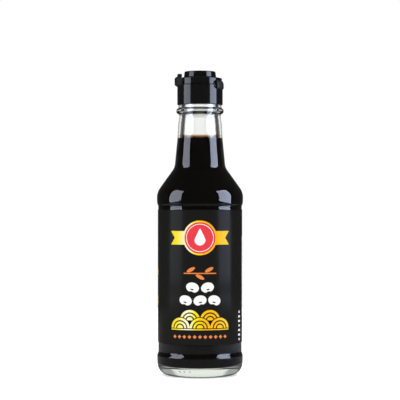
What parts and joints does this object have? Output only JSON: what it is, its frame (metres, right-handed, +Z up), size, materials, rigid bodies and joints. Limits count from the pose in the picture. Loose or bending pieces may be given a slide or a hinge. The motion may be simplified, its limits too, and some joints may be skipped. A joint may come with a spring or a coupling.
{
  "type": "sauce bottle",
  "caption": "Slim clear glass bottle of dark soy sauce with a sloping shoulder, beaded neck, black wrap label and shut black flip-top cap.",
  "frame": {"origin": "middle of the flat ring that the bottle stands on", "axes": "+Z up along the bottle's axis, -Y towards the front of the label, -X towards the cap's thumb tab, +X towards its hinge"},
  "size_m": [0.0478, 0.0478, 0.1685],
  "materials": {
    "clear_glass": "clear moulded flint glass with a faint green tint in the thick base",
    "dark_sauce": "near-black brown liquid that turns amber where it is thin, at its edge on the glass",
    "label_film": "satin black printed film with fields of red, gold and white",
    "black_plastic": "glossy black moulded polypropylene"
  },
  "bodies": {
    "root": {"bottle": "clear_glass", "sauce": "dark_sauce", "label": "label_film", "cap": "black_plastic"}
  },
  "joints": []
}
